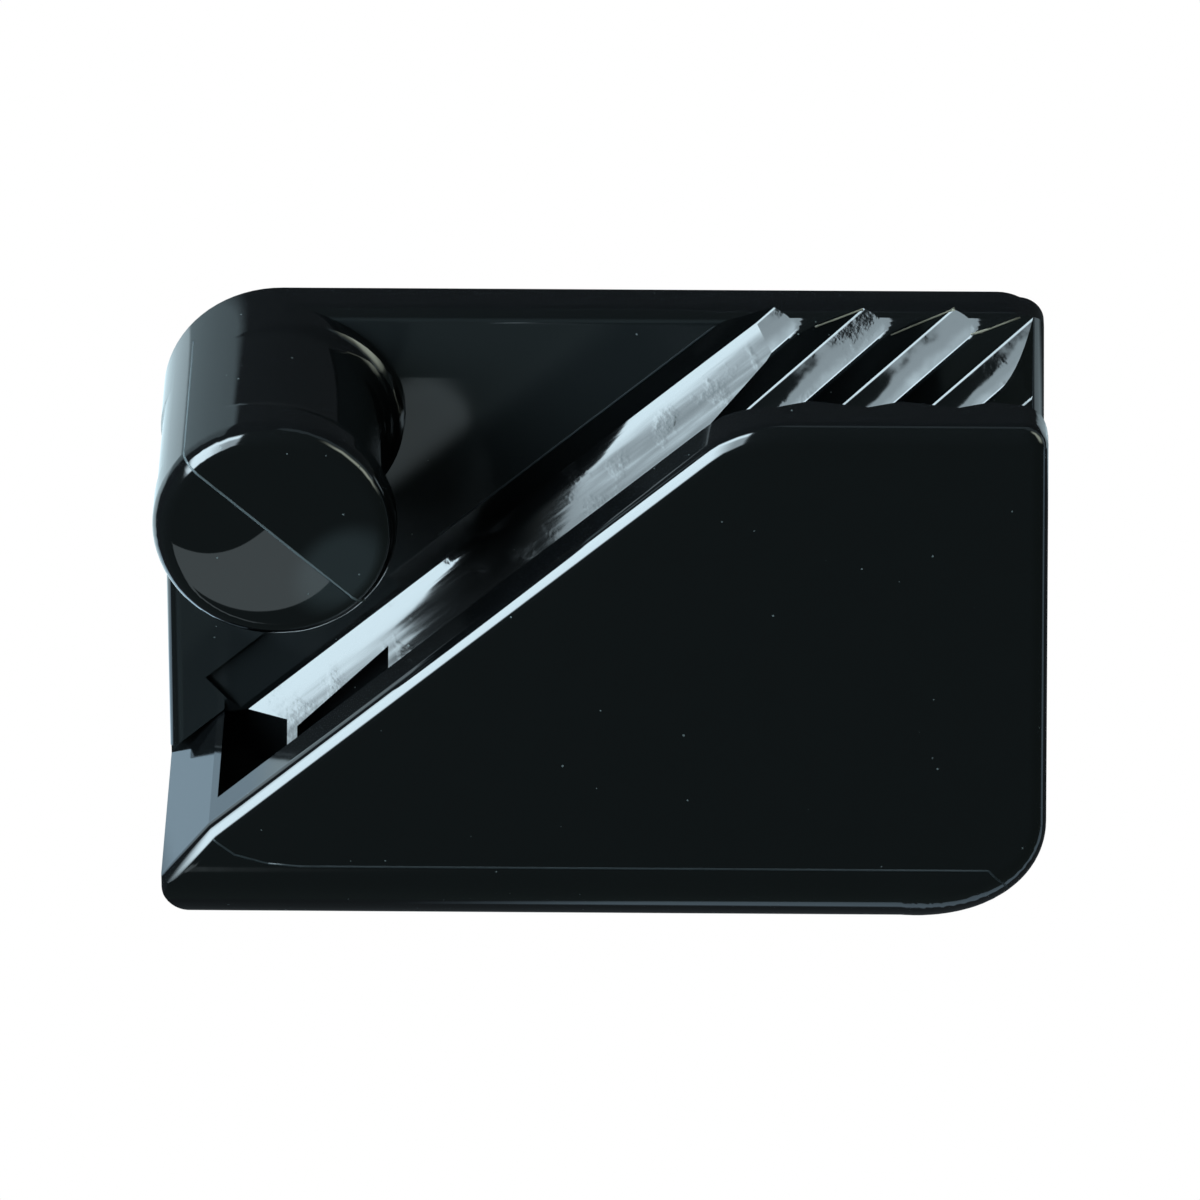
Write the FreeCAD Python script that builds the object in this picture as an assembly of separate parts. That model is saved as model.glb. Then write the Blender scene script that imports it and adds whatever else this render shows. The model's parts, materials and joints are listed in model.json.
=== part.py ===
import FreeCAD, Part
import math
import os

# Side-entry jam cleat, one nylon moulding, in millimetres.
# It lies on its mounting face at z = 0, X runs along it, +Y is the side that the rope enters,
# and the origin is the middle of the mounting face.
# "depth" is measured from the rope's side into the body, towards -Y.
# "along" and "across" are measured along and square to the slanted lead and its teeth.

# Whole moulding; the toothed end leans out by end_lean on its way from back to front
body_length = 60.0
body_width = 41.3
body_height = 18.0
plate_thickness = 3.0
end_lean = 0.4

# Outline corners, then the rounds along the plate's, the front face's and the heel's edges
plate_corner = 3.2
lip_corner = 1.8
heel_corner = 9.8
foot_corner = 1.8
plate_edge_round = 1.0
front_edge_round = 1.2
heel_round = 6.6

# Lip of the front block: a wing at the post's end, the slant, the bend, then level along
# the rope's side; its lower edge is the crease where the front jaw starts
slant_angle = 41.4
lip_depth = 0.4
lip_bend = 9.0
lip_crease = 14.3
foot_height = 5.1
wing_run = 3.3
wing_angle = 51.0

# Groove between the jaws; the lead's edge and valley are measured across from the lip
jaw_slope = 0.25
groove_depth = 18.5
lead_edge_gap = -0.65
lead_valley_gap = 1.22
lead_valley_drop = 0.7
lead_slope = 0.75
lead_end = 3.8
heel_wall = 3.6

# Rounded ends of the jaws
mouth_round = 2.4
mouth_round_lead = 5.8
mouth_round_run = 9.0
back_exit_round = 3.0
front_exit_round = 2.0

# Teeth on both jaws: each notch falls to its valley, then rises to the next tooth's flat top
tooth_pitch = 4.0
tooth_land = 0.2
back_tooth_depth = 1.0
back_tooth_fall = 1.95
front_tooth_depth = 0.75
front_tooth_fall = 2.45

# Foot of the lead: gap behind the lip's end, recess, rib and slot; the slot's near wall
# draws closer to the lip on its way up
foot_gap = -0.15
recess_height = 9.4
recess_length = 4.3
recess_floor = 1.0
rib_width = 0.7
slot_near_foot = 3.65
slot_near_head = 3.15
slot_far = 6.55
slot_floor = 1.2
slot_length = 6.3

# Shallow step in the plate beside the post
step_near = -2.85
step_drop = 0.5
step_margin = 1.5
step_length = 14.8

# Corner post
post_height = 19.1
post_radius = 8.2
post_end_round = 1.4
neck_offset = 0.8
neck_radius = 7.45
neck_head = 1.8
neck_head_round = 2.5
neck_foot_round = 3.0

# Screw holes in the mounting face
hole_spacing = 27.0
hole_radius = 2.1
hole_length = 13.0
hole_end_margin = 8.0
hole_heel_margin = 11.8

# Waste shapes run past the surfaces that they cut, and joined pieces run into each other
overrun = 2.0

half_length = body_length / 2
half_width = body_width / 2
slant = math.radians(slant_angle)
up = FreeCAD.Vector(0, 0, 1)


def place(x, depth, z):
    """The point at the given depth from the rope's side."""
    return FreeCAD.Vector(x, half_width - depth, z)


def slanted(along, across, z):
    """The point given along and across the slant."""
    x = along * math.cos(slant) + across * math.sin(slant)
    depth = across * math.cos(slant) - along * math.sin(slant)
    return place(x, depth, z)


def depth_at(x, across):
    return (across - x * math.sin(slant)) / math.cos(slant)


def x_at(depth, across):
    return (across - depth * math.cos(slant)) / math.sin(slant)


def across_at(x, depth):
    return x * math.sin(slant) + depth * math.cos(slant)


# Places that follow from the sizes above
wing_x = -half_length + wing_run
wing_drop = wing_run * math.tan(math.radians(wing_angle))
wing_depth = body_width - foot_height - wing_drop
lip_across = across_at(wing_x, wing_depth)
lip_foot_along = (wing_x - lip_across * math.sin(slant)) / math.cos(slant)
lead_end_x = -half_length + lead_end
foot_x = half_length - end_lean
join_x = half_length - heel_corner - overrun
lead_edge = lip_across + lead_edge_gap
lead_valley = lip_across + lead_valley_gap
lead_valley_height = plate_thickness - lead_valley_drop
middle_height = (plate_thickness + lip_crease) / 2
floor_low = plate_thickness + jaw_slope * groove_depth
floor_high = lip_crease - jaw_slope * groove_depth
floor_across = lead_valley + (floor_low - lead_valley_height) / lead_slope
level_start = x_at(groove_depth, floor_across)
mouth_start_x = x_at(0, lead_edge) - mouth_round_lead
mouth_full_x = mouth_start_x + mouth_round_run
tooth_count = int((across_at(half_length, groove_depth) - lead_valley) / tooth_pitch) + 1


def prism(points, reach):
    """The solid that the polygon sweeps along the given reach."""
    return Part.Face(Part.makePolygon(points + points[:1])).extrude(reach)


def block_between(x_range, depth_range, z_range):
    """A box between two values of x, of depth and of height."""
    corner = place(x_range[0], depth_range[1], z_range[0])
    sizes = (x_range[1] - x_range[0], depth_range[1] - depth_range[0], z_range[1] - z_range[0])
    return Part.makeBox(sizes[0], sizes[1], sizes[2], corner)


def mirrored(shape):
    """The same shape on the opposite jaw."""
    return shape.mirror(FreeCAD.Vector(0, 0, middle_height), up)


def rounded_outline(corners):
    """A closed face whose corners, given as (point, radius), are turned into tangent arcs."""
    edges = []
    ends = []
    for index, (point, radius) in enumerate(corners):
        before = (corners[index - 1][0] - point).normalize()
        after = (corners[(index + 1) % len(corners)][0] - point).normalize()
        if radius == 0:
            ends.append((point, point))
            continue
        half_turn = before.getAngle(after) / 2
        start = point + before * (radius / math.tan(half_turn))
        end = point + after * (radius / math.tan(half_turn))
        inward = (before + after).normalize()
        middle = point + inward * (radius / math.sin(half_turn) - radius)
        edges.append(Part.Arc(start, middle, end).toShape())
        ends.append((start, end))
    for index in range(len(corners)):
        edges.append(Part.LineSegment(ends[index - 1][1], ends[index][0]).toShape())
    return Part.Face(Part.Wire(Part.__sortEdges__(edges)))


def top_edges(shape, height):
    """The edges that bound the shape's top face."""
    return [edge for edge in shape.Edges if edge.BoundBox.ZMin > height - 0.001]


def leaning(height):
    """The way up the outer side of the toothed end, which leans out towards the front."""
    return FreeCAD.Vector(end_lean * height / body_height, 0, height)


def back_plate():
    """The plate with its rounded edge, cut away in the gap behind the foot of the lip."""
    outline = rounded_outline([
        (place(-half_length, 0, 0), post_radius),
        (place(join_x, 0, 0), 0),
        (place(join_x, body_width, 0), 0),
        (place(-half_length, body_width, 0), foot_corner),
    ])
    end = rounded_outline([
        (place(join_x - overrun, 0, 0), 0),
        (place(foot_x, 0, 0), plate_corner),
        (place(foot_x, body_width, 0), heel_corner),
        (place(join_x - overrun, body_width, 0), 0),
    ])
    plate = outline.extrude(up * plate_thickness)
    plate = plate.fuse(end.extrude(leaning(plate_thickness))).removeSplitter()
    plate = plate.makeFillet(plate_edge_round, top_edges(plate, plate_thickness))
    edge = lip_across + foot_gap
    outer_x = -half_length - overrun
    gap = prism([
        place(lead_end_x, depth_at(lead_end_x, edge), recess_floor),
        place(lead_end_x, body_width, recess_floor),
        place(outer_x, body_width, recess_floor),
        place(outer_x, depth_at(outer_x, edge), recess_floor),
    ], up * plate_thickness)
    return plate.cut(gap)


def front_block():
    """The thick block, square at the heel corner, which is added as a piece of its own."""
    corner_depth = body_width - heel_corner
    outline = rounded_outline([
        (place(-half_length, body_width - foot_height, 0), 0),
        (place(wing_x, wing_depth, 0), 0),
        (place(x_at(lip_depth, lip_across), lip_depth, 0), lip_bend),
        (place(join_x, lip_depth, 0), 0),
        (place(join_x, body_width, 0), 0),
        (place(-half_length, body_width, 0), foot_corner),
    ])
    end = rounded_outline([
        (place(join_x - overrun, lip_depth, 0), 0),
        (place(foot_x, lip_depth, 0), lip_corner),
        (place(foot_x, corner_depth, 0), 0),
        (place(foot_x - heel_corner, corner_depth, 0), 0),
        (place(foot_x - heel_corner, body_width, 0), 0),
        (place(join_x - overrun, body_width, 0), 0),
    ])
    block = outline.extrude(up * body_height)
    block = block.fuse(end.extrude(leaning(body_height))).removeSplitter()
    corner_x = half_length - heel_corner
    rim = []
    for edge in top_edges(block, body_height):
        box = edge.BoundBox
        if box.XMin > corner_x - 0.001 and half_width - box.YMax > corner_depth - 0.001:
            continue
        rim.append(edge)
    return block.makeFillet(front_edge_round, rim)


def round_section(x, radius, corner_depth, corner_z):
    """The waste outside a rounded edge that runs along X at the given depth and height."""
    start = place(x, corner_depth - radius, corner_z)
    end = place(x, corner_depth, corner_z - radius)
    reach = radius * math.sqrt(0.5)
    middle = place(x, corner_depth - radius + reach, corner_z - radius + reach)
    outside = [
        place(x, corner_depth + overrun, corner_z - radius),
        place(x, corner_depth + overrun, corner_z + overrun),
        place(x, corner_depth - radius, corner_z + overrun),
    ]
    edges = [Part.Arc(start, middle, end).toShape()]
    path = [end] + outside + [start]
    for first, second in zip(path, path[1:]):
        edges.append(Part.LineSegment(first, second).toShape())
    return Part.Face(Part.Wire(edges))


def heel_waste():
    """The waste outside the large round along the heel, up to the heel corner."""
    section = round_section(-half_length - overrun, heel_round, body_width, body_height)
    reach = body_length - heel_corner + overrun
    return section.extrude(FreeCAD.Vector(reach, 0, 0))


def heel_corner_piece():
    """A leaning quarter cylinder whose front edge round shrinks from the heel's to the end's."""
    centre = place(half_length - heel_corner, body_width - heel_corner, 0)
    piece = Part.makeCylinder(heel_corner, body_height, centre, up, 90)
    piece.rotate(centre, up, -90)
    arcs = []
    for edge in top_edges(piece, body_height):
        if abs(edge.Length - heel_corner * math.pi / 2) < 0.01:
            arcs.append(edge)
    piece = piece.makeFillet(heel_round, front_edge_round, arcs)
    # Each point moves in x only: by -end_lean at the mounting face, and not at all at the front
    lean = FreeCAD.Matrix()
    lean.A13 = end_lean / body_height
    lean.A14 = -end_lean
    return piece.transformGeometry(lean)


def corner_post():
    """The post, cut by a cove whose axis stands off the post's, so the neck fades out behind."""
    centre = place(-half_length + post_radius, post_radius, 0)
    post = Part.makeCylinder(post_radius, post_height, centre)
    post = post.makeFillet(post_end_round, top_edges(post, post_height))
    head = post_height - neck_head
    lean = FreeCAD.Vector(-1, 1, 0).normalize() * neck_offset
    axis = centre + lean
    inner = neck_radius
    outer = post_radius + neck_offset + 2 * overrun

    def at(radius, z):
        return axis + FreeCAD.Vector(radius, 0, z)

    def corner_arc(radius, z, bend, side):
        reach = bend * (1 - math.sqrt(0.5))
        wall = at(radius, z + side * bend)
        middle = at(radius + reach, z + side * reach)
        face = at(radius + bend, z)
        return Part.Arc(wall, middle, face).toShape()

    foot = plate_thickness
    edges = [
        corner_arc(inner, foot, neck_foot_round, 1),
        Part.LineSegment(at(inner + neck_foot_round, foot), at(outer, foot)).toShape(),
        Part.LineSegment(at(outer, foot), at(outer, head)).toShape(),
        Part.LineSegment(at(outer, head), at(inner + neck_head_round, head)).toShape(),
        corner_arc(inner, head, neck_head_round, -1),
        Part.LineSegment(at(inner, head - neck_head_round), at(inner, foot + neck_foot_round)).toShape(),
    ]
    profile = Part.Face(Part.Wire(Part.__sortEdges__(edges)))
    cove = profile.revolve(axis, up, 360)
    return post.cut(cove)


def lead_waste():
    """The V under the slanted lip, closed at the foot by a flat end."""
    plate_rise = (lead_valley_height - plate_thickness) / (lead_valley - lead_edge)
    jaw_rise = (floor_high - lip_crease) / (floor_across - lip_across)
    before = 0.25 * overrun
    start = -body_length
    section = [
        slanted(start, lead_edge - before, plate_thickness - plate_rise * before),
        slanted(start, lead_valley, lead_valley_height),
        slanted(start, floor_across, floor_low),
        slanted(start, floor_across, floor_high),
        slanted(start, lip_across - before, lip_crease - jaw_rise * before),
    ]
    reach = slanted(2 * body_length, 0, 0) - slanted(0, 0, 0)
    lead = prism(section, reach)
    depths = (-overrun, body_width - heel_wall)
    region = block_between((lead_end_x, half_length + overrun), depths, (0, body_height))
    return lead.common(region)


def level_waste():
    """The V along the rope's side, open at the far end."""
    section = [
        place(level_start, -overrun, plate_thickness - jaw_slope * overrun),
        place(level_start, groove_depth, floor_low),
        place(level_start, groove_depth, floor_high),
        place(level_start, -overrun, lip_crease + jaw_slope * overrun),
    ]
    return prism(section, FreeCAD.Vector(half_length + overrun - level_start, 0, 0))


def tooth_notches(depth, fall):
    """Slanted notches of the given depth that leave teeth standing on the back jaw.

    Each starts at the first tooth's top, reaches its valley after the fall, and runs on past
    both tops by a share of its depth.
    """
    start = -body_length
    rise = tooth_pitch - tooth_land - fall
    beyond = 0.4
    reach = slanted(2 * body_length, 0, 0) - slanted(0, 0, 0)
    reach.z = -jaw_slope * 2 * body_length * math.sin(slant)

    def at(across, height):
        inward = half_width - slanted(start, across, 0).y
        return slanted(start, across, plate_thickness + jaw_slope * inward + height)

    notches = []
    for index in range(tooth_count):
        first = lead_valley - back_tooth_fall + index * tooth_pitch
        section = [
            at(first - beyond * fall, beyond * depth),
            at(first + fall, -depth),
            at(first + fall + rise * (1 + beyond), beyond * depth),
        ]
        notches.append(prism(section, reach))
    depths = (-overrun, groove_depth)
    region = block_between((level_start, half_length + overrun), depths, (0, body_height))
    return [notch.common(region) for notch in notches]


def mouth_section(x, radius):
    """The waste outside the back jaw's rounded mouth at the given place along it."""
    tilt = math.atan(jaw_slope)
    half_turn = (math.pi / 2 + tilt) / 2
    tangent = radius / math.tan(half_turn)
    low = place(x, 0, plate_thickness - tangent)
    high = place(x, tangent * math.cos(tilt), plate_thickness + tangent * math.sin(tilt))
    centre = low + FreeCAD.Vector(0, -radius, 0)
    crown = FreeCAD.Vector(0, 1, 0) + FreeCAD.Vector(0, math.sin(tilt), math.cos(tilt))
    middle = centre + crown.normalize() * radius
    beyond = high + FreeCAD.Vector(0, math.sin(tilt), math.cos(tilt)) * overrun
    aside = low + FreeCAD.Vector(0, overrun, 0)
    outer = place(x, -overrun, plate_thickness + overrun)
    edges = [
        Part.Arc(low, middle, high).toShape(),
        Part.LineSegment(high, beyond).toShape(),
        Part.LineSegment(beyond, outer).toShape(),
        Part.LineSegment(outer, aside).toShape(),
        Part.LineSegment(aside, low).toShape(),
    ]
    return Part.Wire(edges)


def mouth_waste():
    """The waste outside the back jaw's mouth, whose round grows from the plate's own."""
    first = mouth_section(mouth_start_x, plate_edge_round)
    full = mouth_section(mouth_full_x, mouth_round)
    growing = Part.makeLoft([first, full], True, True)
    reach = half_length + overrun - mouth_full_x
    steady = Part.Face(full).extrude(FreeCAD.Vector(reach, 0, 0))
    return [growing, steady]


def exit_waste(radius, height):
    """The waste outside the rounded edge where the back jaw's slope meets the toothed end.

    The end leans, so its place is taken at the given height.
    """
    tilt = math.atan(jaw_slope)
    normal = FreeCAD.Vector(0, math.sin(tilt), math.cos(tilt))
    side = FreeCAD.Vector(1, 0, 0)
    end_x = foot_x + leaning(height).x
    corner = place(end_x, -overrun, plate_thickness - jaw_slope * overrun)
    centre = corner - side * radius - normal * radius
    start = centre + normal * radius
    end = centre + side * radius
    middle = centre + (side + normal).normalize() * radius
    edges = [
        Part.Arc(start, middle, end).toShape(),
        Part.LineSegment(end, end + side * overrun).toShape(),
        Part.LineSegment(end + side * overrun, corner + (side + normal) * overrun).toShape(),
        Part.LineSegment(corner + (side + normal) * overrun, start + normal * overrun).toShape(),
        Part.LineSegment(start + normal * overrun, start).toShape(),
    ]
    run = groove_depth + overrun
    reach = place(0, run, jaw_slope * run) - place(0, 0, 0)
    return Part.Face(Part.Wire(edges)).extrude(reach)


def foot_waste():
    """A square recess at the lead's foot, then a rib, then a slot along the lead."""
    recess_end_x = lead_end_x + recess_length
    depths = (body_width - recess_height, body_width - heel_wall)
    heights = (recess_floor, middle_height)
    recess = block_between((lead_end_x, recess_end_x), depths, heights)
    slot_start_x = recess_end_x + rib_width
    slot_end_x = slot_start_x + slot_length
    foot = lip_across + slot_near_foot
    head = lip_across + slot_near_head
    far = lip_across + slot_far
    slot = prism([
        place(slot_start_x, depth_at(slot_start_x, foot), slot_floor),
        place(slot_end_x, depth_at(slot_end_x, head), slot_floor),
        place(slot_end_x, depth_at(slot_end_x, far), slot_floor),
        place(slot_start_x, depth_at(slot_start_x, far), slot_floor),
    ], up * (floor_low - slot_floor))
    return [recess, slot]


def step_waste():
    """The shallow step that runs along the lead's edge beside the post."""
    floor = plate_thickness - step_drop
    near = lip_across + step_near
    start = lip_foot_along + step_margin
    end = start + step_length
    return prism([
        slanted(start, near, floor),
        slanted(end, near, floor),
        slanted(end, lead_valley, floor),
        slanted(start, lead_valley, floor),
    ], up * plate_thickness)


def screw_holes():
    """Blind holes for the screws that come through the panel from behind."""
    holes = []
    for index in range(2):
        x = half_length - hole_end_margin - index * hole_spacing
        mouth = place(x, body_width - hole_heel_margin, -overrun)
        holes.append(Part.makeCylinder(hole_radius, hole_length + overrun, mouth))
    return holes


def cleat_body():
    """The whole moulding: plate and block, then groove, teeth and foot, then post and holes."""
    plate = back_plate()
    block = front_block().cut(heel_waste())
    body = plate.fuse([block, heel_corner_piece()])
    body = body.cut([lead_waste(), level_waste()])
    body = body.cut(mouth_waste())
    body = body.cut(exit_waste(back_exit_round, plate_thickness))
    body = body.cut(mirrored(exit_waste(front_exit_round, lip_crease)))
    body = body.cut(tooth_notches(back_tooth_depth, back_tooth_fall))
    front_notches = tooth_notches(front_tooth_depth, front_tooth_fall)
    body = body.cut([mirrored(notch) for notch in front_notches])
    body = body.cut(foot_waste())
    body = body.cut(step_waste())
    body = body.fuse(corner_post())
    body = body.cut(screw_holes())
    return body.removeSplitter()


os.makedirs("parts", exist_ok=True)
body = cleat_body()
solid = body.Solids[0]
print("solids", len(body.Solids), "valid", solid.isValid(), "volume", round(solid.Volume))
print("box", body.BoundBox)
solid.exportStep("parts/cleat_body.step")
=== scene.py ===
# %% [markdown]
# # A moulded jam cleat
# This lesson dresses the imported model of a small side-entry jam cleat: one black nylon moulding
# that grips a rope in a toothed groove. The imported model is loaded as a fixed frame, and every
# piece below is made in its place, in metres: X runs along the cleat from the post to the teeth,
# +Y is the side where the rope enters, and Z rises from the flat mounting face.

# %% Load the frame
import json
import math

import bmesh
import bpy
from mathutils import Matrix, Vector, noise

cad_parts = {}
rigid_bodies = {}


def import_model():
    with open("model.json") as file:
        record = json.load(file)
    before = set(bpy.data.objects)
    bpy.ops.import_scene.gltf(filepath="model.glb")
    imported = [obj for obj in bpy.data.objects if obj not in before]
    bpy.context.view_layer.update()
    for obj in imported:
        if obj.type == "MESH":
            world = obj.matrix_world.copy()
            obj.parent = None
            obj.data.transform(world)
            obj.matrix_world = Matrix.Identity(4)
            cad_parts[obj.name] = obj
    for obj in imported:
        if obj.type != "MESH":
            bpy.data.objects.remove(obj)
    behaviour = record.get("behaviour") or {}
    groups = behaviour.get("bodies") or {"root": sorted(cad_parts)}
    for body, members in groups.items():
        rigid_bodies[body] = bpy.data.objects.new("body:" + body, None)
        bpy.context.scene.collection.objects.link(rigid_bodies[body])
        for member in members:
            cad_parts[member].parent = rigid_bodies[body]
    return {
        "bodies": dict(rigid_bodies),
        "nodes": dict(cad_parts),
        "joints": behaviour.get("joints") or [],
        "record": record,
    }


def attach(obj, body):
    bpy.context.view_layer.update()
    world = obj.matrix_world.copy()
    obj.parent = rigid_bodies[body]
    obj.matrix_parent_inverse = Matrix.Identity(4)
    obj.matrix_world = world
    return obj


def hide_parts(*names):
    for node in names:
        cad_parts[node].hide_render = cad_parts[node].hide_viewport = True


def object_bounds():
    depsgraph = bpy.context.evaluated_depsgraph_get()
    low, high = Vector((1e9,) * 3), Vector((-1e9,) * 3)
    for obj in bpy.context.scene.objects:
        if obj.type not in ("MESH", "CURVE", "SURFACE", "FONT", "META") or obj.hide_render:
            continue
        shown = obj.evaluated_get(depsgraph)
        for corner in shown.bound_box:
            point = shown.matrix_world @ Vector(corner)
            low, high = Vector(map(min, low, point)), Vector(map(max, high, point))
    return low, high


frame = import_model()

MM = 0.001
scene = bpy.context.scene
cad_low, cad_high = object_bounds()
print("CAD box in mm:", [round(v / MM, 2) for v in (*cad_low, *cad_high)])


# %% [markdown]
# ## The camera
# The cleat is seen square on to its front, from about 31 degrees towards the rope's side. A wide
# lens close by would spread its edges apart, so a long lens from 1.2 m is taken, which keeps
# parallel edges nearly parallel, as in a catalogue picture of small hardware.

# %% How a camera or lamp is placed
def placed(side, up, back, place):
    """The matrix of a camera or lamp whose own X, Y and Z axes are side, up and back."""
    return Matrix((
        (side.x, up.x, back.x, place.x),
        (side.y, up.y, back.y, place.y),
        (side.z, up.z, back.z, place.z),
        (0, 0, 0, 1),
    ))


# %% Camera
SENSOR_WIDTH = 36        # mm


def photo_camera(pitch, turn, roll, distance, aim, offset, lens):
    """A long lens that looks at the aim from a direction given by two angles, then rolls."""
    pitch, turn, roll = (math.radians(a) for a in (pitch, turn, roll))
    back = Vector((math.sin(turn) * math.sin(pitch), math.cos(turn) * math.sin(pitch),
                   math.cos(pitch)))
    right = Vector((0, 1, 0)).cross(back).normalized()
    up = back.cross(right)
    rolled = right * math.cos(roll) + up * math.sin(roll)
    raised = up * math.cos(roll) - right * math.sin(roll)
    place = aim + back * distance
    look = (place - (aim + rolled * offset[0] + raised * offset[1])).normalized()
    side = raised.cross(look).normalized()
    data = bpy.data.cameras.new("photo_camera")
    data.lens = lens
    data.sensor_width = SENSOR_WIDTH
    data.clip_start, data.clip_end = 0.05, 20
    camera = bpy.data.objects.new("photo_camera", data)
    camera.matrix_world = placed(side, look.cross(side), look, place)
    scene.collection.objects.link(camera)
    return camera


scene.camera = photo_camera(
    pitch=30.87, turn=2.73, roll=-0.48, distance=1217.7 * MM,
    aim=Vector((0, 0, 9 * MM)), offset=(-0.31 * MM, 1.365 * MM), lens=539.6)
print("camera stands at", [round(v, 3) for v in scene.camera.matrix_world.translation])


# %% [markdown]
# ## Helpers for materials
# Colours are written as sRGB hex values, as a paint chart gives them, and one function turns them
# into the linear values that Blender works with. A second one adds a node with its settings and
# links. The others put a few nodes together for one purpose each, so that a material reads from
# top to bottom like a recipe.

# %% Colour and node helpers
MATH, VECTOR_MATH, NOISE = "ShaderNodeMath", "ShaderNodeVectorMath", "ShaderNodeTexNoise"


def linear(hex_colour):
    channels = [int(hex_colour[i:i + 2], 16) / 255 for i in (1, 3, 5)]
    values = [c / 12.92 if c <= 0.04045 else ((c + 0.055) / 1.055) ** 2.4 for c in channels]
    return (*values, 1.0)


def add_node(tree, kind, settings=None):
    """Adds a node. A setting is one of the node's properties, or an input given by its name or its
    number, which takes a value or a link. A node that is linked stands for its first output."""
    node = tree.nodes.new(kind)
    for name, value in (settings or {}).items():
        if isinstance(value, bpy.types.Node):
            value = value.outputs[0]
        if isinstance(value, bpy.types.NodeSocket):
            tree.links.new(value, node.inputs[name])
        elif isinstance(name, int) or name in node.inputs:
            node.inputs[name].default_value = value
        else:
            setattr(node, name, value)
    return node


print("half of the sRGB scale in linear:", round(linear("#808080")[0], 3))


# %% Masks, sums and layers of colour
def overlap(tree, *masks):
    """Where all the masks are strong: they are multiplied, and a weight may be among them."""
    result = masks[0]
    for mask in masks[1:]:
        result = add_node(tree, MATH, {"operation": "MULTIPLY", 0: result, 1: mask})
    return result


def region(tree, *limits):
    """1 where every value has come from its outer limit to its inner one, 0 where one of them has
    not, smooth between."""
    steps = []
    for value, outer, inner in limits:
        rises = outer < inner
        steps.append(add_node(tree, "ShaderNodeMapRange", {
            "interpolation_type": "SMOOTHSTEP", "Value": value,
            "From Min": min(outer, inner), "From Max": max(outer, inner),
            "To Min": 0.0 if rises else 1.0, "To Max": 1.0 if rises else 0.0}))
    return overlap(tree, *steps)


def total(tree, *terms):
    """The sum of all terms. A term in brackets is a mask or value with its weights."""
    result = None
    for term in terms:
        value = overlap(tree, *term) if isinstance(term, tuple) else term
        result = value if result is None else add_node(
            tree, MATH, {"operation": "ADD", 0: result, 1: value})
    return result


def painted(tree, ground, *layers):
    """The ground colour under layers of others, each of them laid where its mask is 1."""
    colour = linear(ground)
    for mask, layer in layers:
        colour = add_node(tree, "ShaderNodeMix", {
            "data_type": "RGBA", 0: mask, 6: colour, 7: linear(layer)}).outputs[2]
    return colour


# %% Helpers that say where something is on the cleat
def in_millimetres(tree):
    """The place on the cleat in millimetres, and its three parts."""
    place = add_node(tree, "ShaderNodeTexCoord").outputs["Object"]
    scaled = add_node(tree, VECTOR_MATH, {"operation": "SCALE", 0: place, "Scale": 1 / MM})
    parts = add_node(tree, "ShaderNodeSeparateXYZ", {0: scaled})
    return scaled, parts.outputs["X"], parts.outputs["Y"], parts.outputs["Z"]


def way_from(tree, x, y, middle):
    """The way out from an upright axis in the mm plane, and how far out it is."""
    flat = add_node(tree, "ShaderNodeCombineXYZ", {"X": x, "Y": y})
    way = add_node(tree, VECTOR_MATH, {"operation": "SUBTRACT", 0: flat, 1: (*middle, 0.0)})
    return way, add_node(tree, VECTOR_MATH, {"operation": "LENGTH", 0: way}).outputs["Value"]


def spot(tree, place, centre, reach, turn):
    """1 in the middle of a soft-edged oval, 0 outside it; sizes in mm, turn in degrees about Z."""
    moved = add_node(tree, "ShaderNodeMapping", {
        "vector_type": "TEXTURE", "Vector": place, "Location": centre,
        "Rotation": (0, 0, math.radians(turn)), "Scale": reach})
    length = add_node(tree, VECTOR_MATH, {"operation": "LENGTH", 0: moved})
    return region(tree, (length.outputs["Value"], 1.0, 0.45))


# %% [markdown]
# ## Black moulded nylon
# The real cleat is glass-filled nylon, injection moulded in a polished steel mould. That gives a
# deep, slightly blue black under a sharp gloss, in which the lamps stand as clear shapes. The rope
# has rubbed the toothed groove, and dust specks cling to the faces. Painted light makes the low plate
# paler than the face, and a painted reflection lies as a grey patch on the post's end. All of it is
# drawn in Object coordinates, turned into millimetres, so that each pattern's size is a real one.

# %% The nylon and its patterns
NYLON_IOR = 1.53
LEAD_ANGLE = 41.4        # degrees: the lead and its teeth run up at this angle to X
TOOTH_PITCH = 4.0        # mm

nylon = bpy.data.materials.new("moulded_black_nylon")
nylon.use_nodes = True
tree = nylon.node_tree
shader = tree.nodes["Principled BSDF"]
shader.inputs["IOR"].default_value = NYLON_IOR
shader.inputs["Specular IOR Level"].default_value = 0.75      # the moulded skin is extra bright
place, x, y, z = in_millimetres(tree)
facing = add_node(tree, "ShaderNodeNewGeometry").outputs["Normal"]
facing_x, facing_y, facing_z = add_node(tree, "ShaderNodeSeparateXYZ", {0: facing}).outputs

mottle = add_node(tree, NOISE, {"Scale": 1 / 3.0, "Detail": 4.0, "Vector": place})
grain = add_node(tree, NOISE, {"Scale": 1 / 0.4, "Detail": 4.0, "Vector": place})
ripples = add_node(tree, NOISE, {"Scale": 1 / 1.4, "Detail": 1.0, "Vector": place})
# Scratches that the rope draws along the lead: 8 mm long and 0.4 mm apart.
drawn = add_node(tree, "ShaderNodeMapping", {
    "vector_type": "TEXTURE", "Vector": place,
    "Rotation": (0, 0, math.radians(LEAD_ANGLE)), "Scale": (8.0, 0.4, 2.0)})
scratches = add_node(tree, NOISE, {"Scale": 1.0, "Detail": 2.0, "Vector": drawn})
print("nylon's patterns in mm: mottle 3, ripples 1.4, grain 0.4, scratches 8 by 0.4")

# %% [markdown]
# ### Where the rope has worn the gloss
# Years of rope have hollowed the lead and the bright flanks of the teeth by a few hundredths of a
# millimetre. That is far too little to see as a shape, but the gloss shows it: the lamp's picture
# bends in it. So the shape stays flat, and the material leans its normal.

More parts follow.
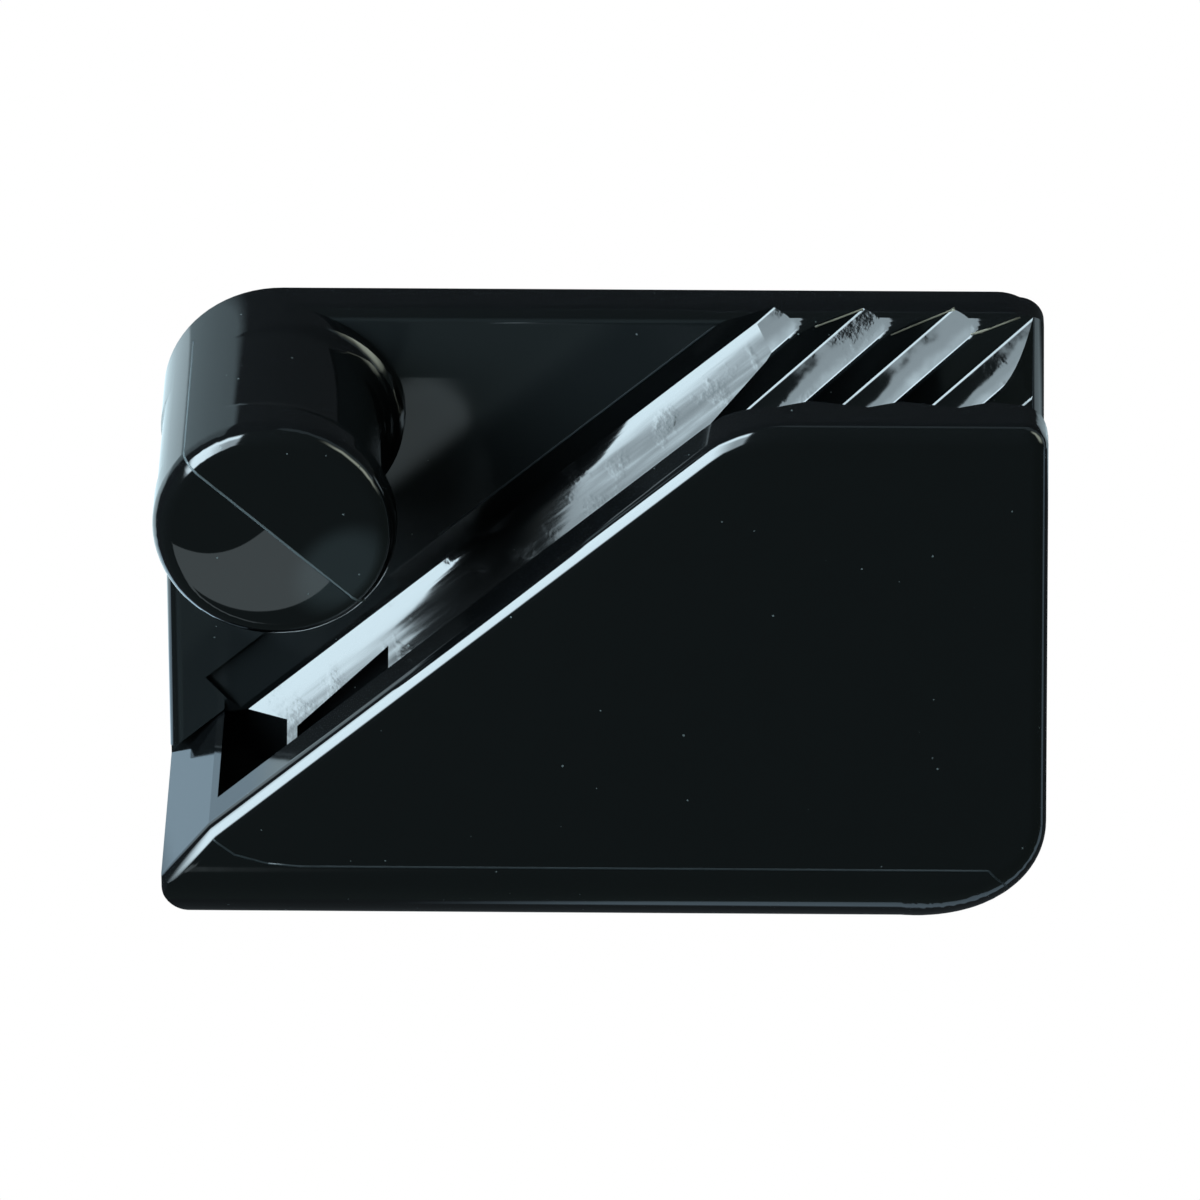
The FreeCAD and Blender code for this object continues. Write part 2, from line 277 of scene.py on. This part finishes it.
# %% The worn flanks
# Both kinds of flank are low, and lean over by some 37 degrees towards the post.
flanks = region(tree, (facing_x, -0.20, -0.26), (facing_y, 0.38, 0.42), (facing_z, 0.76, 0.79),
                (z, 8.2, 7.8))
on_lead = region(tree, (facing_y, 0.50, 0.475))     # the lead leans less to +Y than the teeth do
on_teeth = total(tree, 1.0, (on_lead, -1.0))
behind_post = region(tree, (x, -4.0, -9.0))
beyond_post = total(tree, 1.0, (behind_post, -1.0))
# Square to the lead, in mm. Its flank goes from 7.8 at the plate to 5 below the front jaw.
across = total(tree, (x, -0.661), (y, 0.750))
print("nylon nodes up to the flanks:", len(tree.nodes))

# %% How far they lean
# 1 is a lean of 9 degrees away from the tall soft box, and less than 0 is towards it.
lead_bend = total(
    tree,
    (region(tree, (across, 7.75, 6.4)), beyond_post, 0.95),
    (region(tree, (across, 7.7, 5.2)), behind_post, 1.1),
    (scratches, 1.2), -0.6)
# Each tooth's bright flank is hollow at its foot, and its two edges catch the light.
on_tooth = add_node(tree, MATH, {"operation": "FLOORED_MODULO", 0: across, 1: TOOTH_PITCH})
foot = region(tree, (on_tooth, 2.1, 3.4), (on_tooth, 3.76, 3.68))
foot_depth = total(tree, 0.6, (region(tree, (y, 18.0, 14.0)), 0.6))
tooth_bend = total(
    tree,
    (foot, foot_depth),
    (region(tree, (on_tooth, 3.70, 3.76)), -0.6),
    (region(tree, (on_tooth, 2.08, 2.02)), -0.6),
    (mottle, 1.2), -0.66)
bend = total(tree, (on_lead, lead_bend), (on_teeth, tooth_bend))
dull = total(tree, (on_lead, region(tree, (across, 7.5, 6.5)), 0.5),
             (region(tree, (mottle, 0.5, 0.7)), 0.3))
print("nylon nodes up to the wear:", len(tree.nodes))

# %% [markdown]
# ### Sink marks and the post's rim
# Thick nylon shrinks as it cools, and pulls the skin in by a little. One such mark shows as a
# leaf-shaped bloom on the half of the post's end below the parting line, and one as a patch on the
# plate. The post's end also rolls over softly into its side.

# %% Marks on the post and the plate
POST_AXIS = (-21.8, 12.4)          # mm

parting_side = total(tree, (total(tree, x, 21.98), 0.681), (total(tree, y, -12.66), 0.732))
off_middle = total(tree, x, 26.2)
leaf_edge = total(tree, y, (off_middle, off_middle, -0.13))
from_bloom = way_from(tree, x, y, (-22.9, 12.6))[1]
bloom = region(tree, (parting_side, 0.0, -0.12), (leaf_edge, 11.3, 10.9), (from_bloom, 6.3, 5.9),
               (z, 18.9, 19.0))
plate_mark = overlap(tree, spot(tree, place, (-12.2, 10.0, 3.0), (5.2, 8.6, 1.5), 0),
                     region(tree, (y, 15.7, 15.3)))
sunk = add_node(tree, MATH, {"operation": "MAXIMUM", 0: bloom, 1: plate_mark})
out_of_post, from_post = way_from(tree, x, y, POST_AXIS)
off_axis = add_node(tree, VECTOR_MATH, {"operation": "NORMALIZE", 0: out_of_post})
rim = region(tree, (from_post, 7.1, 8.1), (from_post, 8.7, 8.4), (z, 17.6, 18.0))
print("nylon nodes up to the marks:", len(tree.nodes))

# %% The skin's normal
normal = facing
for direction, amount in (((0.120, 0.097, 0.042), overlap(tree, flanks, bend)),
                          ((-0.080, -0.050, 0.0), sunk),
                          (off_axis, overlap(tree, rim, 0.34))):
    lean = add_node(tree, VECTOR_MATH, {"operation": "SCALE", 0: direction, "Scale": amount})
    normal = add_node(tree, VECTOR_MATH, {"operation": "ADD", 0: normal, 1: lean})
normal = add_node(tree, VECTOR_MATH, {"operation": "NORMALIZE", 0: normal})
uneven = add_node(tree, "ShaderNodeBump", {
    "Strength": 1.0, "Distance": 0.002 * MM, "Height": ripples, "Normal": normal})
pits = overlap(tree, flanks, region(tree, (mottle, 0.52, 0.66)), grain)
pitted = add_node(tree, "ShaderNodeBump", {
    "Strength": 1.0, "Distance": 0.02 * MM, "Height": pits, "Normal": uneven})
tree.links.new(pitted.outputs[0], shader.inputs["Normal"])
print("the lead's gloss leans by up to", round(math.degrees(Vector((0.120, 0.097, 0.042)).length)),
      "degrees")

# %% Dust specks, painted light, colour and roughness
POLISHED, RUBBED = 0.07, 0.22      # roughness of the moulded gloss, and where rope has rubbed it

# The low plate and the channel's floor, where they face up, are painted paler than the face: painted
# light. Dust clings as specks: one in some of the 1.2 mm cells.
painted_light_film = region(tree, (z, 4.6, 3.4), (facing_z, 0.9, 0.97))
cells = add_node(tree, "ShaderNodeTexVoronoi", {"feature": "F1", "Scale": 1 / 1.2, "Vector": place})
lottery = add_node(tree, "ShaderNodeSeparateColor", {0: cells.outputs["Color"]}).outputs
speck = overlap(
    tree,
    add_node(tree, MATH, {"operation": "LESS_THAN", 0: cells,
                          1: total(tree, 0.02, (lottery[1], 0.05))}),
    add_node(tree, MATH, {"operation": "GREATER_THAN", 0: lottery[0], 1: 0.55}))
# A faint grey patch painted on the post's end, above its parting line: a painted reflection.
painted_reflection_patch = spot(tree, place, (-17.4, 9.9, 19.1), (4.6, 3.2, 1.0), 48)

# Painted light: the low plate's paler colour. Painted reflection: the grey patch on the post's end.
# The specks are dust.
colour = painted(tree, "#08090a", (mottle, "#0a0b0c"), (painted_light_film, "#1b1e1f"),
                 (overlap(tree, painted_reflection_patch, 0.6), "#2e3334"), (overlap(tree, speck, 0.6), "#6f7878"))
rough = total(tree, POLISHED, (flanks, dull, RUBBED - POLISHED), (painted_light_film, 0.04),
              (plate_mark, 0.05), (speck, 0.4))
tree.links.new(colour, shader.inputs["Base Color"])
tree.links.new(rough.outputs[0], shader.inputs["Roughness"])
print("nylon nodes:", len(tree.nodes))


# %% [markdown]
# ### Thin moulding flash, and painted highlights
# Where the mould's halves meet, nylon is squeezed out into a thin fin, and trimmed off. Its torn
# edge scatters light, so it looks paler than the gloss beside it, and is drawn rough and patchy.
# The same pale, patchy material also paints a highlight and glints on ridges where no flash is.

# %% Flash, and painted highlights
def flash_and_highlight_material(name, pale):
    material = bpy.data.materials.new(name)
    material.use_nodes = True
    tree = material.node_tree
    shader = tree.nodes["Principled BSDF"]
    shader.inputs["IOR"].default_value = NYLON_IOR
    shader.inputs["Roughness"].default_value = 0.4
    place = in_millimetres(tree)[0]
    torn = add_node(tree, NOISE, {"Scale": 1 / 1.2, "Detail": 4.0, "Vector": place})
    colour = painted(tree, "#0a0b0c", (region(tree, (torn, 0.1, 0.5)), pale))
    tree.links.new(colour, shader.inputs["Base Color"])
    return material


post_flash = flash_and_highlight_material("pale_nylon_flash", "#596164")
# This flash marks the seams on the front face, and also paints a highlight along the plate's edge.
seam_and_highlight_flash = flash_and_highlight_material("dark_seam_and_highlight_nylon", "#23282a")
# A warm pale colour for painted glints above three teeth.
painted_glint_flash = flash_and_highlight_material("painted_glint_nylon", "#7d786a")
print("flash:", post_flash.name, seam_and_highlight_flash.name, painted_glint_flash.name)

# %% [markdown]
# ## The moulding
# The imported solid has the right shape, but its mesh is loose triangles, and its toe, where the heel
# runs out by the slanted wing, ends in a sharp edge where the real one is rounded off. A bevel
# would need clean edge loops, which a CAD mesh doesn't have. So a merged copy is cut along planes
# that touch a thin slanted cylinder in that corner, and each cut is closed again.

# %% A merged copy with a rounded toe
MERGE_WITHIN = 0.002                  # mm
ON_PLANE = 1e-7                       # m: a point this near to a cutting plane lies on it
TOE_RADIUS = 1.8                      # mm
TOE_STEP = 9                          # degrees from one cut to the next
AXIS_LEAN = math.radians(31)          # the rounding cylinder leans over towards +Y
downhill = Vector((0, -math.cos(AXIS_LEAN), math.sin(AXIS_LEAN)))

shape = bmesh.new()
shape.from_mesh(frame["nodes"]["cleat_body"].data)
bmesh.ops.remove_doubles(shape, verts=shape.verts, dist=MERGE_WITHIN * MM)
heel = max(v.co.dot(downhill) for v in shape.verts if v.co.x < cad_low.x + 3 * MM)
toe_centre = Vector((cad_low.x + TOE_RADIUS * MM, 0, 0)) + downhill * (heel - TOE_RADIUS * MM)
for angle in range(TOE_STEP, 90, TOE_STEP):
    turn = math.radians(angle)
    outwards = Vector((-math.cos(turn), 0, 0)) + downhill * math.sin(turn)
    result = bmesh.ops.bisect_plane(
        shape, geom=shape.verts[:] + shape.edges[:] + shape.faces[:], dist=ON_PLANE,
        plane_co=toe_centre + outwards * TOE_RADIUS * MM, plane_no=outwards, clear_outer=True)
    open_edges = [e for e in result["geom_cut"] if isinstance(e, bmesh.types.BMEdge)]
    bmesh.ops.holes_fill(shape, edges=open_edges, sides=0)
bmesh.ops.triangulate(shape, faces=[f for f in shape.faces if len(f.verts) > 3])
print("open edges:", sum(len(e.link_faces) != 2 for e in shape.edges))

# %% [markdown]
# A gloss shows every fault of the shading. Plain smooth shading bends the flat faces near their
# edges, so the normals are set one by one: a corner of a flat face gets that face's own normal, and
# a corner of a round gets the flat's normal where the round runs out into it, or else the mean of
# the facets round that point.

# %% Which faces are flat
FLAT_WIDTH = 1.1                      # mm: flat faces are wider, the facets of rounds narrower
SAME_PLANE = math.radians(0.15)
SAMPLED_POINTS = 40                   # enough of a plane's points to find its length


def flat_regions(shape):
    """For every face the width in mm of the plane that it forms with its neighbours."""
    width_of, members = {}, {}
    for first in shape.faces:
        if first in members:
            continue
        plane, waiting = [first], [first]
        members[first] = plane
        while waiting:
            for edge in waiting.pop().edges:
                for face in edge.link_faces:
                    turned = face.normal.angle(first.normal, 0)
                    if face not in members and turned < SAME_PLANE:
                        members[face] = plane
                        plane.append(face)
                        waiting.append(face)
        points = list(dict.fromkeys(v for face in plane for v in face.verts))
        length = max((v.co - w.co).length for v in points for w in points[:SAMPLED_POINTS])
        width = sum(face.calc_area() for face in plane) / length / MM
        for face in plane:
            width_of[face] = width
    return width_of


# %% Normals for a glossy moulding
SMOOTH_ANGLE = math.radians(24)


def corner_normals(shape):
    width_of = flat_regions(shape)
    normals = []
    for face in shape.faces:
        for loop in face.loops:
            if width_of[face] >= FLAT_WIDTH:
                normals.append(face.normal.copy())
                continue
            near = [f for f in loop.vert.link_faces
                    if f.normal.angle(face.normal, 0) < SMOOTH_ANGLE]
            flat = max(near, key=lambda f: width_of[f])
            if width_of[flat] >= FLAT_WIDTH:
                normals.append(flat.normal.copy())
            else:
                mean = Vector()
                for f in near:
                    mean += f.normal * f.calc_area()
                normals.append(mean.normalized())
    return normals


# %% The moulding as an object
shape.normal_update()
normals = corner_normals(shape)
for face in shape.faces:
    face.smooth = True
mesh = bpy.data.meshes.new("cleat_moulding")
shape.to_mesh(mesh)
mesh.normals_split_custom_set(normals)
mesh.materials.append(nylon)
bare_skin = shape                     # the same shape without those normals, for the parting line
moulding = bpy.data.objects.new("cleat_moulding", mesh)
scene.collection.objects.link(moulding)
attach(moulding, "root")
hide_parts("cleat_body")
print("moulding faces:", len(mesh.polygons))


# %% [markdown]
# ## The parting line
# Where the two halves of the mould meet, a thread of nylon stands proud by a few hundredths of a
# millimetre. It runs over the post's end and down its side, and along the foot of the front face.
# A curve with a bevel would have to be laid on the surface point by point. Instead each stretch is
# cut out of a copy of the moulding between two close planes, so it follows the surface exactly. The
# copy is a bare one: normals set one by one for the moulding mean nothing on a strip cut out of it.
# The middle of the strip is then lifted into a ridge, and solidify gives it a body that is sunk into
# the moulding.

# %% A ridge along the moulding
RIDGE_BODY = 0.06                     # mm: how deep it goes into the moulding
SHARP_FROM = math.radians(60)


def cut(shape, point, normal, clear):
    """Cuts the whole shape by a plane; clear drops what lies on the normal's side."""
    parts = shape.verts[:] + shape.edges[:] + shape.faces[:]
    return bmesh.ops.bisect_plane(shape, geom=parts, dist=ON_PLANE, plane_co=point,
                                  plane_no=normal, clear_outer=clear)["geom_cut"]


def ridge_on_moulding(name, start, end, low, high, flash, width=0.16, height=0.05):
    """A thin ridge on the moulding, in the upright plane from start to end; all sizes in mm."""
    shape = bare_skin.copy()
    start, end = (Vector((*p, 0)) * MM for p in (start, end))
    along = (end - start).normalized()
    across = Vector((-along.y, along.x, 0))
    for side in (1, -1):
        cut(shape, start + across * side * width / 2 * MM, across * side, True)
    cut(shape, start, -along, True)
    cut(shape, end, along, True)
    cut(shape, Vector((0, 0, low * MM)), Vector((0, 0, -1)), True)
    cut(shape, Vector((0, 0, high * MM)), Vector((0, 0, 1)), True)
    crest = [v for v in cut(shape, start, across, False) if isinstance(v, bmesh.types.BMVert)]
    shape.normal_update()
    for v in crest:
        unequal = 1 + 0.3 * noise.noise(v.co / MM * 0.8)
        v.co += v.normal * height * unequal * MM
    bmesh.ops.solidify(shape, geom=shape.faces[:], thickness=RIDGE_BODY * MM)
    bmesh.ops.recalc_face_normals(shape, faces=shape.faces[:])
    for face in shape.faces:
        face.smooth = True
    mesh = bpy.data.meshes.new(name)
    shape.to_mesh(mesh)
    shape.free()
    mesh.set_sharp_from_angle(angle=SHARP_FROM)
    mesh.materials.append(flash)
    ridge = bpy.data.objects.new(name, mesh)
    scene.collection.objects.link(ridge)
    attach(ridge, "root")
    print(name, "faces:", len(mesh.polygons))


# %% The parting line's stretches, and ridges that carry painted highlights
ridge_on_moulding("post_end_ridge", (-29.6, 19.75), (-15.5, 6.62), 18.0, 19.2, post_flash)
ridge_on_moulding("post_side_ridge", (-29.6, 19.75), (-25.0, 15.47), 2.8, 18.0, post_flash)
# Along the plate's edge by the lead, a ridge in the paler dark flash is a painted highlight on that
# edge, and above three teeth, warm pale ridges are painted glints.
ridge_on_moulding("plate_edge_highlight_ridge", (-11.4, 3.05), (7.5, 19.6), 2.5, 3.5, seam_and_highlight_flash, height=0.03)
# Painted glints: warm pale ridges where the teeth meet the jaw's top round.
ridge_on_moulding("tooth_glint_ridge_1", (14.2, 19.55), (17.4, 20.4), 1.9, 3.6, painted_glint_flash)
ridge_on_moulding("tooth_glint_ridge_2", (19.3, 19.1), (23.6, 20.45), 1.9, 3.6, painted_glint_flash)
ridge_on_moulding("tooth_glint_ridge_3", (24.7, 19.2), (28.0, 20.1), 2.2, 3.6, painted_glint_flash)
face_line = [(-26.37, -12.14), (-24.90, -13.32), (-22.70, -14.0), (-20.45, -14.2), (26.1, -14.2),
             (27.07, -15.38), (27.5, -16.3)]
for number, (start, end) in enumerate(zip(face_line, face_line[1:]), 1):
    ridge_on_moulding(f"face_ridge_{number}", start, end, 15.5, 18.2, seam_and_highlight_flash)
bare_skin.free()


# %% [markdown]
# ## Floor
# The camera sees a plain white table, cut out without a shadow as in a catalogue. What the black
# gloss mirrors is painted into the table's material as a painted reflection that only mirrored rays
# see: a glow where a table lit on the lamp's side would be, and dark where black cards would lie on
# the other sides, so that the edges of a black object stand dark and clear. Real cards would show in
# the picture, so they are only painted there.

# %% Where the table's painted reflection glows
table_material = bpy.data.materials.new("white_table")
table_material.use_nodes = True
tree = table_material.node_tree
place, x, y, z = in_millimetres(tree)

# To the left of the cleat, up to a slanted line by the post, and as far out as 60 mm.
by_post = total(tree, (x, 0.78), (y, 0.626), 6.446)
left_gap = region(tree, (x, -24.0, -26.5), (x, -62.0, -52.0), (by_post, 0.8, -0.8),
                  (y, -21.0, -17.0))
# At the toothed end, between two cards.
end_gap = region(tree, (x, 31.0, 34.0), (x, 60.0, 50.0), (y, 2.0, 8.0), (y, 24.0, 20.0))
# Beyond the cards, which end some 10 cm out, but for the left one, which is longer.
from_middle = way_from(tree, x, y, (0.0, 0.0))[1]
beyond = region(tree, (from_middle, 85.0, 115.0), (x, -20.0, 0.0))
bare = left_gap
for gap, share in ((end_gap, 0.8), (beyond, 0.5)):
    bare = add_node(tree, MATH, {"operation": "MAXIMUM", 0: bare, 1: overlap(tree, gap, share)})
print("table nodes up to the gaps:", len(tree.nodes))

# %% The table's painted reflection colours
# In the painted reflection, the post beyond its parting line sees a dimmer colour, and the wing a
# bluer one.
dim = region(tree, (total(tree, y, (x, -0.19)), 22.8, 23.1))
by_wing = region(tree, (y, -6.0, -9.0))
# The painted cards: dark in the painted reflection wherever the glow is not.
card = total(tree, 1.0, (bare, -1.0))
colour = painted(tree, "#cfe8f2", (dim, "#8ba0a8"), (by_wing, "#b9d8ec"), (card, "#2d3235"))

shader = tree.nodes["Principled BSDF"]
shader.inputs["Base Color"].default_value = linear("#f2f2f2")
shader.inputs["Roughness"].default_value = 0.9
# Glossy rays see this glow: a painted reflection of a lit table, dark where cards are painted.
mirrored = add_node(tree, "ShaderNodeEmission", {"Color": colour, "Strength": 1.5})
white = add_node(tree, "ShaderNodeEmission", {"Color": (1, 1, 1, 1), "Strength": 1.0})
rays = add_node(tree, "ShaderNodeLightPath").outputs
in_gloss = add_node(tree, "ShaderNodeMixShader", {
    0: rays["Is Glossy Ray"], 1: shader, 2: mirrored})
to_camera = add_node(tree, "ShaderNodeMixShader", {
    0: rays["Is Camera Ray"], 1: in_gloss, 2: white})
tree.links.new(to_camera.outputs[0], tree.nodes["Material Output"].inputs["Surface"])
print("table nodes:", len(tree.nodes))

# %% The table
TABLE_HALF = 3.0                      # m
TABLE_GAP = 0.05                      # mm below the mounting face

shape = bmesh.new()
bmesh.ops.create_grid(shape, x_segments=1, y_segments=1, size=TABLE_HALF,
                      matrix=Matrix.Translation((0, 0, -TABLE_GAP * MM)))
mesh = bpy.data.meshes.new("table")
shape.to_mesh(mesh)
shape.free()
mesh.materials.append(table_material)
table = bpy.data.objects.new("table", mesh)
scene.collection.objects.link(table)
print("table:", 2 * TABLE_HALF, "m wide")


# %% [markdown]
# ## Lights
# A black gloss has hardly any colour of its own: it is drawn by what it mirrors. One tall soft box
# at the upper left makes every bright band, and a low, slightly warm one at the right makes the
# glints on the post and the end. Each is placed by the direction in which the gloss looks. As on a
# real soft box, the cloth is brightest in the middle and fades towards its frame.

# %% A soft box
def soft_box(name, centre, upright, width, height, colour, radiance, glow):
    """A flat lamp that faces the cleat, with its long edges along upright. The function glow gives
    the share of the full radiance, from the place across and up the cloth in metres."""
    data = bpy.data.lights.new(name, "AREA")
    data.shape = "RECTANGLE"
    data.size = width
    data.size_y = height
    data.color = linear(colour)[:3]
    data.energy = radiance * math.pi * width * height
    data.use_nodes = True
    tree = data.node_tree
    cloth = add_node(tree, "ShaderNodeNewGeometry").outputs["Parametric"]
    parts = add_node(tree, "ShaderNodeSeparateXYZ", {0: cloth}).outputs
    across = overlap(tree, total(tree, parts["X"], -0.5), width)
    up = overlap(tree, total(tree, parts["Y"], -0.5), height)
    tree.links.new(glow(tree, across, up).outputs[0], tree.nodes["Emission"].inputs["Strength"])
    lamp = bpy.data.objects.new(name, data)
    upright = Vector(upright).normalized()
    centre = Vector(centre)
    back = (centre - upright * centre.dot(upright)).normalized()
    lamp.matrix_world = placed(upright.cross(back), upright, back, centre)
    scene.collection.objects.link(lamp)
    print(name, "power:", round(data.energy, 1), "W")


# %% How each cloth glows
def tall_glow(tree, across, up):
    """Bright in a column, dimmer on the post's side of it except low down; soft at the frame."""
    column = add_node(tree, MATH, {
        "operation": "MAXIMUM", 0: region(tree, (across, -0.40, 0.02)),
        1: region(tree, (up, -0.44, -0.74))})
    frame = region(tree, (across, -0.60, -0.52), (across, 0.51, 0.24), (up, -1.01, -0.80),
                   (up, 1.01, 0.45))
    return overlap(tree, total(tree, 0.35, (column, 0.65)), frame)


def wide_glow(tree, across, up):
    return region(tree, (across, -0.70, -0.25), (across, 0.70, 0.25), (up, -0.24, -0.02),
                  (up, 0.24, 0.02))


def even_glow(tree, across, up):
    return region(tree, (across, -0.11, -0.08), (across, 0.11, 0.08), (up, -0.11, -0.08),
                  (up, 0.11, 0.08))


# %% Lamps
tall_up = Vector((-0.061, -0.336, 0.94)).normalized()
tall_foot = Vector((-0.661, 0.719, 0.214)) * 1.2
tall_side = tall_up.cross(tall_foot - tall_up * tall_foot.dot(tall_up)).normalized()
soft_box("tall_soft_box", tall_foot + tall_side * 0.18 + tall_up * 0.74, tall_up, 1.2, 2.02,
         "#daf1fc", 13.2, tall_glow)
soft_box("low_warm_soft_box", (1.03, 0.52, 0.21), (0, 0, 1), 1.4, 0.48, "#f0fbe8", 3.4, wide_glow)
soft_box("small_front_lamp", (-0.187, -0.714, 0.946), (0, 0, 1), 0.22, 0.22, "#dff1f7", 0.80,
         even_glow)

# %% The dim studio round it
world = bpy.data.worlds.new("dim_studio")
scene.world = world
world.use_nodes = True
background = world.node_tree.nodes["Background"]
background.inputs["Color"].default_value = (0.049, 0.068, 0.068, 1)
background.inputs["Strength"].default_value = 1.0

scene.view_settings.view_transform = "Standard"
